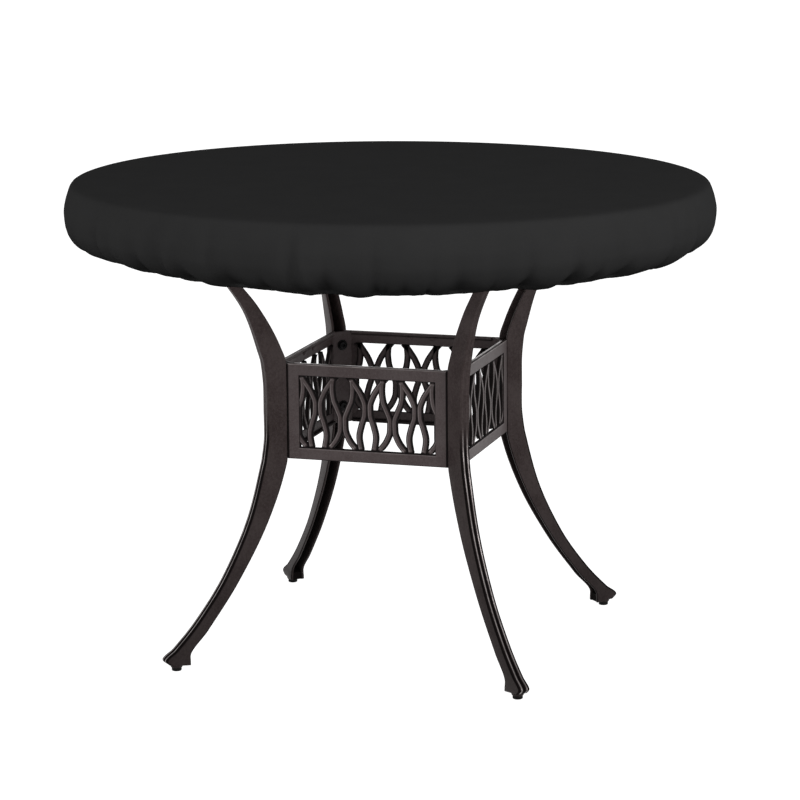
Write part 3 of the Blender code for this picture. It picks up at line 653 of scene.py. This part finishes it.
# Floor of the channel: least half width, width of its edge, least half width inside that.
FLOOR_HALF, FLOOR_EDGE, FLOOR_MIDDLE = 0.0020, 0.0016, 0.0004
STEP_RISE = 0.0002  # a closed stretch starts and ends within this
ROLLS_FROM = 0.0300  # the rolls start to sink into the face this far above a panel's lower edge,
ROLLS_FADE = 0.0500  # have sunk this far further up
ROLLS_LEAST = 0.15  # and keep this share of their height
ROLL_TURNS = (  # degrees round a roll from the flank's side, painted light: highlight up to 1, shade down to -1
    (166, -1.0), (146, -1.0), (124, -0.9), (108, 0.1), (95, 1.0),
    (82, 0.3), (68, -0.9), (36, -1.0), (4, -1.0),
)
FOOT_BOSS = (  # radius, height of the round boss above a glide
    (0.0079, 0.0058), (0.0088, 0.0058), (0.0092, 0.0064), (0.0104, 0.0104), (0.0108, 0.0150),
)
BOSS_SIDES = 36
PAD_HALF_LONG, PAD_HALF_WIDE, PAD_THICK = 0.024, 0.016, 0.006
PAD_ROUND, PAD_STEPS = 0.006, 4  # its corners: radius, steps round each


def leg_at(height):
    """The leg's section at a height along its curve."""
    return LegSection(*[smooth_between(LEG_KNOTS, column, height) for column in LEG_FIELDS])


def in_solid(height):
    """True where the channel of the leg is closed: the foot, the bolt bosses and the pad."""
    if height < LEG_KNOTS[0] + FOOT_FLOOR or height > LEG_KNOTS[-1] - PAD_THICK:
        return True
    return any(abs(height - bolt) < BOSS_HALF for bolt in BOLT_HEIGHTS.values())


def leg_outline(section, closed, roll):
    """The leg's section as (side, depth, painted light) points round it; depth 0 is at the outer face."""
    depth = math.hypot(section.inner_r - section.outer_r, section.inner_z - section.outer_z)
    outer, inner = section.outer_width / 2, section.inner_width / 2
    middle, rise, step = outer / 2, ROLL_RISE * roll, ROLL_STEP * roll
    # painted shade in the valley between the rolls; their crests get the painted highlight
    half = [(0.0, rise, -1.0)]
    for degrees, painted_light in ROLL_TURNS:
        turn = math.radians(degrees)
        half.append((middle * (1 + math.cos(turn)), rise * (1 - math.sin(turn)), painted_light))
    flank_top = half[-1][1] + GROOVE_EDGE
    flare = (inner - outer) / depth

    def flank(deep, cut=0.0, painted_light=0.0):
        """A point of the sloping side."""
        return (outer - step * (1 - deep / depth) + flare * deep - cut, deep, painted_light)

    half += [flank(flank_top + below, cut * roll, painted_light) for below, cut, painted_light in GROOVE]
    half.append(flank(depth * 0.5))
    half += [flank(depth - back, cut, painted_light) for back, cut, painted_light in LIP_SECTION]
    bottom = depth - FILL_STEP if closed else LEG_WALL
    floor_half = max(outer - LEG_WALL + flare * bottom, FLOOR_HALF)
    # the channel's floor is painted fully in shade
    half += [(floor_half, bottom, -1.0), (max(floor_half - FLOOR_EDGE, FLOOR_MIDDLE), bottom, -1.0)]
    return half + [(-side, deep, painted_light) for side, deep, painted_light in half[:0:-1]]


def leg_ring(height, closed, inset=0.0):
    """Points and painted light and shade of the leg's section at a height, with the leg's own plane along
    +X.
    """
    section = leg_at(height)
    start = Vector((section.outer_r, 0, section.outer_z))
    across = Vector((section.inner_r, 0, section.inner_z)) - start
    depth = across.length
    roll = min(1.0, max(ROLLS_LEAST, 1.0 - (height - PANEL_LOW - ROLLS_FROM) / ROLLS_FADE))
    narrow = 1 - 2 * inset / section.outer_width
    ring = []
    for side, deep, painted_light in leg_outline(section, closed, roll):
        inside = inset + deep * (1 - 2 * inset / depth)
        ring.append((start + across * (inside / depth) + Vector((0, side * narrow, 0)), painted_light * roll))
    return ring


def make_leg(corner, degrees, material):
    """A lofted casting: rolls on its outer face, an open channel inside, closed at foot, bosses and pad."""
    last = len(LEG_KNOTS) - 1
    heights = [smooth_between(range(last + 1), LEG_KNOTS, last * i / (LEG_ROWS - 1))
               for i in range(LEG_ROWS)]
    foot = heights[0]
    rings = [leg_ring(foot, True, FOOT_EASE), leg_ring(foot + FOOT_EASE * 0.3, True, FOOT_EASE * 0.3)]
    before = True
    for height in [foot + FOOT_EASE] + [h for h in heights if h > foot + FOOT_EASE]:
        closed = in_solid(height)
        if closed != before:
            rings.append(leg_ring(height - STEP_RISE, before))
            before = closed
        rings.append(leg_ring(height, closed))
    bm = bmesh.new()
    loft(bm, [[point for point, _ in ring] for ring in rings])
    painted_lights = [painted_light for ring in rings for _, painted_light in ring]
    pad_box(bm, (LEG_SECTIONS[-1].outer_r + LEG_SECTIONS[-1].inner_r) / 2)
    spun(bm, FOOT_BOSS, BOSS_SIDES, Matrix.Translation((GLIDE_AT, 0, 0)))
    leg = finish_mesh("leg_casting_" + corner, bm, material, smooth_degrees=50, turn=degrees)
    paint_light_and_shade(leg, painted_lights)
    stand_for(leg, "leg_" + corner)


def pad_box(bm, middle):
    """The flat pad under the table top, with rounded upright edges."""
    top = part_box("leg_front_left")[1].z
    ring = []
    for corner, (right, back) in enumerate(((1, 1), (-1, 1), (-1, -1), (1, -1))):
        for step in range(PAD_STEPS + 1):
            turn = math.radians(90 * corner + 90 * step / PAD_STEPS)
            ring.append((middle + right * PAD_HALF_LONG + PAD_ROUND * math.cos(turn),
                         back * PAD_HALF_WIDE + PAD_ROUND * math.sin(turn)))
    loft(bm, [[Vector((x, y, z)) for x, y in ring] for z in (top - PAD_THICK, top)])


# ---- panels ----

# Section of a panel's frame: share of its width from its outer edge, depth behind the face, and the
# painted light on the top rail, on the low rail and on the stiles (highlight up to 1, shade down to -1).
FrameRow = namedtuple("FrameRow", "share deep top low stile")
FRAME_SECTION = tuple(FrameRow(*row) for row in (
    (0.0, 0.0014, -0.6, -1.0, -1.0), (0.015, 0.0004, 0.4, -1.0, -1.0), (0.045, 0.0, 0.45, -0.9, -1.0),
    (0.085, 0.0, 0.3, -0.12, -0.6), (0.12, 0.0, 0.0, -0.1, 0.05), (0.78, 0.0, 0.0, -0.1, -0.06),
    (0.815, 0.0, 0.05, 0.2, 0.02), (0.87, 0.0, 0.12, 0.3, 0.1), (0.893, 0.0002, -0.4, -0.6, -0.5),
    (0.912, 0.0007, -1.0, -1.0, -1.0), (0.955, 0.002, -1.0, -1.0, -1.0), (0.985, 0.004, -1.0, -1.0, -1.0),
    (0.96, 0.0045, -0.7, -0.9, -0.7), (0.9, 0.0045, 0.0, -0.35, 0.0), (0.4, 0.0045, 0.0, -0.35, 0.0),
    (0.25, 0.0045, -1.0, -1.0, -1.0), (0.06, 0.0045, -0.6, -0.6, -0.6), (0.0, 0.0041, 0.6, -0.6, -0.6),
))
CORNER_EASE = 0.0003  # the frame's section turns from a rail to a stile within this
# Share of the bar's half width, share of its height, painted light (highlight up to 1, shade down to -1).
BAR_SECTION = (
    (-0.62, 0.0, -0.7), (-0.9, 0.08, -1.0), (-1.0, 0.2, -1.0), (-1.0, 0.656, -1.0), (-0.9, 0.8, -1.0),
    (-0.74, 0.918, -1.0), (-0.46, 0.983, 0.4), (-0.14, 1.0, -0.05), (0.3, 0.983, 0.05),
    (0.62, 0.935, -0.9), (0.9, 0.8, -1.0), (1.0, 0.656, -1.0), (1.0, 0.2, -1.0), (0.9, 0.08, -1.0),
    (0.62, 0.0, -0.7), (0.1, 0.0, 0.1),
)
BAR_BACK = 0.70  # the part of a bar behind this share of its height stays clear of the rails,
RAIL_CLEAR = 0.0004  # by this
# Painted light along a bar, in shares of its length: painted shade at its ends, then fading, and a little
# painted highlight where that ends, on points with more painted light than BAR_LIT.
BAR_DARK, BAR_DARK_FADE = 0.006, 0.010
BAR_SHINE, BAR_SHINE_AT, BAR_SHINE_HALF, BAR_LIT = 0.25, 0.026, 0.012, -0.5
FLANGE_EASE, FLANGE_ROOT, FLANGE_GAP = 0.0008, 0.0010, 0.0008  # edges, root in the frame, gap at an end
# Painted light round a flange (highlight up to 1, shade down to -1), from its lower front edge: the upper
# one and the lower one.
HIGH_FLANGE = (-1.0, -0.6, -0.3, -0.2, 0.85, 1.00)
LOW_FLANGE = (-1.0, -0.9, -0.8, -0.8, -0.6, -0.6)
# A lug: distance out from the frame's back, half length, half height.
LUG_SECTION = ((-0.0002, 0.0048, 0.0026), (0.0016, 0.0044, 0.0022), (0.0022, 0.0036, 0.0014))
LUG_DOWN = 0.0044  # middle of a lug below the flange
# Corners of a frame in their order round it, and whether each one's first and second row is on a rail.
FRAME_CORNERS = (
    (-1, -1, (False, True)), (1, -1, (True, False)), (1, 1, (False, True)), (-1, 1, (True, False)),
)


def frame_corner(right, up, on_rail):
    """The frame's section at one corner, mitred to the leg: the end of its rail or of its stile."""
    ring = []
    middle, tall = (PANEL_LOW + PANEL_HIGH) / 2, (PANEL_HIGH - PANEL_LOW) / 2
    for row in FRAME_SECTION:
        wide = PANEL_HALF - JOINT + row.deep * (1.0 - row.share) - row.share * STILE - CORNER_EASE * on_rail
        high = tall - row.share * RAIL - CORNER_EASE * (not on_rail)
        ring.append(Vector((right * wide, -PANEL_FACE + row.deep, middle + up * high)))
    return ring


def flange_box(bm, low):
    """A flange along a panel's upper or lower edge, eased at its back. Returns the painted light and shade
    of its points.
    """
    half = (PLATE_R - PLATE_WIDTH / 2) * DIAGONAL - FLANGE_GAP
    front, back = -PANEL_FACE + PANEL_SKIN - FLANGE_ROOT, -PANEL_FACE + PANEL_DEPTH
    ease, high = FLANGE_EASE, low + FLANGE
    outline = ((front, low), (back - ease, low), (back, low + ease),
               (back, high - ease), (back - ease, high), (front, high))
    loft(bm, [[Vector((x, y, z)) for y, z in outline] for x in (-half, half)])
    return list(LOW_FLANGE if low == PANEL_LOW else HIGH_FLANGE) * 2


def lug_box(bm, middle):
    """A small casting lug on the inside of a panel's upper rail."""
    back, high = -PANEL_FACE + PANEL_SKIN, PANEL_HIGH - FLANGE - LUG_DOWN
    loft(bm, [[Vector((middle + x * half, back + out, high + z * tall))
               for x, z in ((-1, -1), (1, -1), (1, 1), (-1, 1))] for out, half, tall in LUG_SECTION])


def bar_line(middle, way, shape, low, high):
    """A bar's middle line: at each row, how far down the window it is as a share, and its point."""
    downs, outs = [p.down for p in shape], [p.out for p in shape]
    limit = PANEL_HALF - STILE + BAR_INTO
    line = []
    even = [downs[0] + (downs[-1] - downs[0]) * i / (BAR_ROWS - 1) for i in range(BAR_ROWS)]
    for down in sorted(even + list(BAR_ENDS)):
        x = middle + way * smooth_between(downs, outs, down) * LATTICE_PITCH
        line.append((down, Vector((min(max(x, -limit), limit), high - down * (high - low)))))
    return line


def bar_painted_lights(down):
    """Painted light and shade round a bar, at one share of the way down the window."""
    from_end = min(down, 1.0 - down)
    clear = min(max((from_end - BAR_DARK) / BAR_DARK_FADE, 0.0), 1.0)
    shine = BAR_SHINE * math.exp(-((from_end - BAR_SHINE_AT) / BAR_SHINE_HALF) ** 2)
    return [-1.0 + clear * (painted_light + 1.0) + shine * (painted_light > BAR_LIT) for _, _, painted_light in BAR_SECTION]


def make_bar(bm, middle, way, shape, low, high):
    """One sinuous bar, which runs into the frame or along a stile. Returns the painted light and shade of
    its points.
    """
    line = bar_line(middle, way, shape, low, high)
    back = -PANEL_FACE + BAR_SETBACK + BAR_HEIGHT
    rings, painted_lights = [], []
    for i, (down, here) in enumerate(line):
        painted_lights += bar_painted_lights(down)
        along = (line[min(i + 1, len(line) - 1)][1] - line[max(i - 1, 0)][1]).normalized()
        across = Vector((-along.y, along.x)) * BAR_WIDTH / 2
        ring = []
        for side, tall, _ in BAR_SECTION:
            z = here.y + across.y * side
            if tall < BAR_BACK:
                z = min(max(z, low + RAIL_CLEAR), high - RAIL_CLEAR)
            ring.append(Vector((here.x + across.x * side, back - BAR_HEIGHT * tall, z)))
        rings.append(ring)
    loft(bm, rings)
    return painted_lights


def make_panel(side, degrees, material):
    """One casting: the mitred frame, its lattice of bars, a flange along each edge and the lugs."""
    bm = bmesh.new()
    rings, painted_lights = [], []
    for right, up, ends in FRAME_CORNERS:
        rail = "top" if up > 0 else "low"
        for on_rail in ends:
            rings.append(frame_corner(right, up, on_rail))
            painted_lights += [getattr(row, rail if on_rail else "stile") for row in FRAME_SECTION]
    loft(bm, rings, loop=True)
    low, high = PANEL_LOW + RAIL, PANEL_HIGH - RAIL
    for pair in BAR_PAIRS:
        for way in pair.sides:
            painted_lights += make_bar(bm, pair.middle * LATTICE_PITCH, way, pair.shape, low, high)
    for edge in (PANEL_LOW, PANEL_HIGH - FLANGE):
        painted_lights += flange_box(bm, edge)
    for middle in LUGS:
        lug_box(bm, middle)
    panel = finish_mesh("panel_casting_" + side, bm, material, smooth_degrees=46, turn=degrees)
    paint_light_and_shade(panel, painted_lights)
    stand_for(panel, "panel_" + side)


# ---- plates, bolts, glides ----

# Rows of a bolt's socket from its floor: share of its width, height over the plate's face (- is outwards).
SOCKET_ROWS = ((0.98, -BOLT_HEAD * 0.42), (1.0, -BOLT_HEAD * 0.42), (1.0, -BOLT_HEAD * 0.97))
BOLT_PROFILE = (  # radius, height: the button head, the washer and the shank
    (0.0034, -BOLT_HEAD), (BOLT_R * 0.72, -BOLT_HEAD * 0.97), (BOLT_R * 0.90, -BOLT_HEAD * 0.84),
    (BOLT_R * 0.98, -BOLT_HEAD * 0.62), (BOLT_R, -BOLT_HEAD * 0.40), (BOLT_R, -WASHER - 0.0001),
    (WASHER_R - WASHER_EASE, -WASHER), (WASHER_R, -WASHER + WASHER_EASE), (WASHER_R, 0.0),
    (SHANK_R, 0.0), (SHANK_R, SHANK),
)
GLIDE_PROFILE = (  # radius, height: the pad's soft lower edge, the groove round it and the stem
    (0.0010, 0.0), (GLIDE_R - 0.0016, 0.0), (GLIDE_R - 0.0006, 0.0004), (GLIDE_R - 0.0001, 0.0012),
    (GLIDE_R, 0.0030), (GLIDE_R - 0.0004, 0.0034), (GLIDE_R - 0.0004, 0.0040), (GLIDE_R, 0.0044),
    (GLIDE_R, GLIDE_HEIGHT - 0.0012), (GLIDE_R - 0.0008, GLIDE_HEIGHT), (STEM_R, GLIDE_HEIGHT),
    (STEM_R, STEM_TOP),
)
BOLT_SIDES, GLIDE_SIDES = 36, 40


def make_plate(corner, degrees, material):
    """A corner plate with bevelled long edges and eased ends."""
    half, thick, ease = PLATE_WIDTH / 2, PLATE_THICK, PLATE_EASE
    plan = ((PLATE_R, -half + ease), (PLATE_R + ease, -half), (PLATE_R + thick, -half + thick),
            (PLATE_R + thick, half - thick), (PLATE_R + ease, half), (PLATE_R, half - ease))
    rows = ((PANEL_LOW, ease), (PANEL_LOW + ease, 0.0), (PANEL_HIGH - ease, 0.0), (PANEL_HIGH, ease))
    rings = []
    for z, inset in rows:
        narrow = 1 - inset / half
        rings.append([Vector((r + (inset if r < PLATE_R + thick / 2 else -inset), side * narrow, z))
                      for r, side in plan])
    bm = bmesh.new()
    loft(bm, rings)
    plate = finish_mesh("corner_plate_casting_" + corner, bm, material, smooth_degrees=30, turn=degrees)
    stand_for(plate, "corner_plate_" + corner)


def make_bolt(corner, place, degrees, material):
    """A button head with a hexagonal socket, on a washer and a plain shank."""
    lie = Matrix.Translation((PLATE_R - GAP, 0, BOLT_HEIGHTS[place]))
    lie @= Matrix.Rotation(math.radians(90), 4, "Y")
    socket, half_side = [], math.radians(30)
    for i in range(BOLT_SIDES):
        from_middle = half_side - (2 * math.pi * i / BOLT_SIDES) % (2 * half_side)
        socket.append(SOCKET_CORNER * math.cos(half_side) / math.cos(from_middle))
    rings = [level_ring([r * share for r in socket], h) for share, h in SOCKET_ROWS]
    rings += [level_ring([r] * BOLT_SIDES, h) for r, h in BOLT_PROFILE]
    bm = bmesh.new()
    loft(bm, [[lie @ point for point in ring] for ring in rings])
    bolt = finish_mesh(f"bolt_button_{corner}_{place}", bm, material, turn=degrees)
    stand_for(bolt, f"bolt_{corner}_{place}")


def make_glide(corner, degrees, material):
    """A round pad with a soft lower edge, a groove round it and a stem."""
    bm = bmesh.new()
    spun(bm, GLIDE_PROFILE, GLIDE_SIDES, Matrix.Translation((GLIDE_AT, 0, 0)))
    glide = finish_mesh("glide_pad_" + corner, bm, material, smooth_degrees=40, turn=degrees)
    stand_for(glide, "glide_" + corner)


# ---- studio ----

# Azimuth 0 is in front of the table and 90 on its right. Degrees, metres, watts.
Lamp = namedtuple("Lamp", "name azimuth elevation distance width height power")
LAMPS = (Lamp("key", 62, 22, 3.2, 0.50, 2.6, 29), Lamp("fill", -35, 16, 3.4, 1.6, 1.4, 15))
# Brightness of the studio all round, from straight below (0) past the horizon (0.5) to straight above.
STUDIO_GLOW = (
    (0.0, 0.02), (0.25, 0.11), (0.40, 0.48), (0.470, 0.84), (0.476, 1.02), (0.52, 1.15),
    (0.75, 0.46), (1.0, 0.18),
)
FLOOR_HALF_SIZE = 30.0


def make_camera():
    """The photograph's camera: where it stands and how it is turned."""
    data = bpy.data.cameras.new("camera")
    data.sensor_width = SENSOR
    data.lens = SENSOR * FOCAL / IMAGE_SIDE
    data.shift_x = CAMERA_SHIFT / IMAGE_SIDE
    camera = add_object("camera", data)
    out, up = CAMERA_AZIMUTH, CAMERA_PITCH
    camera.location = (CAMERA_OUT * math.sin(out), -CAMERA_OUT * math.cos(out), CAMERA_UP)
    look = Vector((-math.sin(out) * math.cos(up), math.cos(out) * math.cos(up), -math.sin(up)))
    camera.rotation_mode = "QUATERNION"
    camera.rotation_quaternion = look.to_track_quat("-Z", "Y") @ Quaternion((0, 0, 1), CAMERA_ROLL)
    bpy.context.scene.camera = camera


def make_lamp(lamp):
    """A soft box aimed at the middle of the table."""
    data = bpy.data.lights.new(lamp.name, "AREA")
    data.shape = "RECTANGLE"
    data.size, data.size_y = lamp.width, lamp.height
    data.energy = lamp.power
    box = add_object(lamp.name, data)
    a, e = math.radians(lamp.azimuth), math.radians(lamp.elevation)
    source = Vector((math.sin(a) * math.cos(e), -math.cos(a) * math.cos(e), math.sin(e)))
    box.location = source * lamp.distance + Vector((0, 0, HEIGHT / 2))
    box.rotation_mode = "QUATERNION"
    box.rotation_quaternion = source.to_track_quat("Z", "Y")


def make_surround():
    """A white studio all round, dimmer from below and from above."""
    world = bpy.data.worlds.new("studio")
    bpy.context.scene.world = world
    world.use_nodes = True
    tree = world.node_tree
    sky = tree.nodes.new("ShaderNodeTexCoord").outputs["Generated"]
    parts, rise = tree.nodes.new("ShaderNodeSeparateXYZ"), tree.nodes.new("ShaderNodeMapRange")
    glow = tree.nodes.new("ShaderNodeValToRGB")
    rise.inputs["From Min"].default_value = -1.0
    elements = glow.color_ramp.elements
    for stop, (place, bright) in enumerate(STUDIO_GLOW):
        element = elements[stop] if stop < 2 else elements.new(place)
        element.position, element.color = place, (bright, bright, bright, 1.0)
    tree.links.new(sky, parts.inputs["Vector"])
    tree.links.new(parts.outputs["Z"], rise.inputs["Value"])
    tree.links.new(rise.outputs["Result"], glow.inputs["Fac"])
    tree.links.new(glow.outputs["Color"], tree.nodes["Background"].inputs["Color"])


def make_studio():
    """The surround, the lamps and the pale floor, which isn't seen by diffuse bounces."""
    make_surround()
    for lamp in LAMPS:
        make_lamp(lamp)
    bm = bmesh.new()
    bmesh.ops.create_grid(bm, x_segments=4, y_segments=4, size=FLOOR_HALF_SIZE)
    floor = finish_mesh("floor", bm, floor_material())
    floor.visible_diffuse = False
    bpy.context.scene.view_settings.view_transform = "Standard"


# ---- build ----

def main():
    """Build every piece, the camera and the studio."""
    cast, panel_cast = cast_material(LEG_PAINT), cast_material(PANEL_PAINT)
    cloth = cloth_material()
    steel, rubber = plain_material(BOLT_FINISH), plain_material(GLIDE_FINISH)
    make_cover(cloth)
    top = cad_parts["table_top"]
    top.data.materials.clear()
    top.data.materials.append(cast)
    for corner, degrees in CORNERS.items():
        make_leg(corner, degrees, cast)
        make_plate(corner, degrees, panel_cast)
        make_glide(corner, degrees, rubber)
        for place in BOLT_HEIGHTS:
            make_bolt(corner, place, degrees, steel)
    for side, degrees in PANELS.items():
        make_panel(side, degrees, panel_cast)
    make_camera()
    make_studio()


main()
